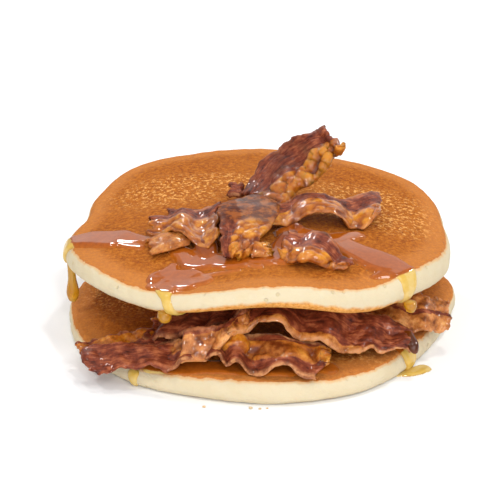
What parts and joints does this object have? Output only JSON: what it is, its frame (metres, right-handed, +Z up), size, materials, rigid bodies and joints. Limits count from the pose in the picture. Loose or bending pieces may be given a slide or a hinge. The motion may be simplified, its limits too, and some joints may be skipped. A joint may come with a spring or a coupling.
{
  "type": "pancake stack",
  "caption": "Stack of thick round pancakes with wavy streaky bacon between them and crisp bacon pieces and syrup heaped on top.",
  "frame": {"origin": "on the flat underside of the lower pancake, under its middle", "axes": "+Z up, +X to the right and +Y to the back, seen from the front of the stack"},
  "size_m": [0.1426, 0.1503, 0.0683],
  "materials": {
    "pancake": "baked, matt",
    "bacon": "fried, glossy",
    "syrup": "clear, wet"
  },
  "bodies": {
    "root": {"pancake_lower": "pancake", "pancake_upper": "pancake", "bacon_back": "bacon", "bacon_left_tip": "bacon", "bacon_right_tip": "bacon", "bacon_front": "bacon", "bacon_inner": "bacon", "bacon_right": "bacon", "bacon_curl": "bacon", "topping_dark_slab": "bacon", "topping_tan_slab": "bacon", "topping_left_fold": "bacon", "topping_right_wave": "bacon", "topping_front_chunk": "bacon", "topping_amber_bit": "bacon", "topping_small_curl": "bacon", "topping_leaning": "bacon", "topping_fold": "bacon"}
  },
  "joints": []
}
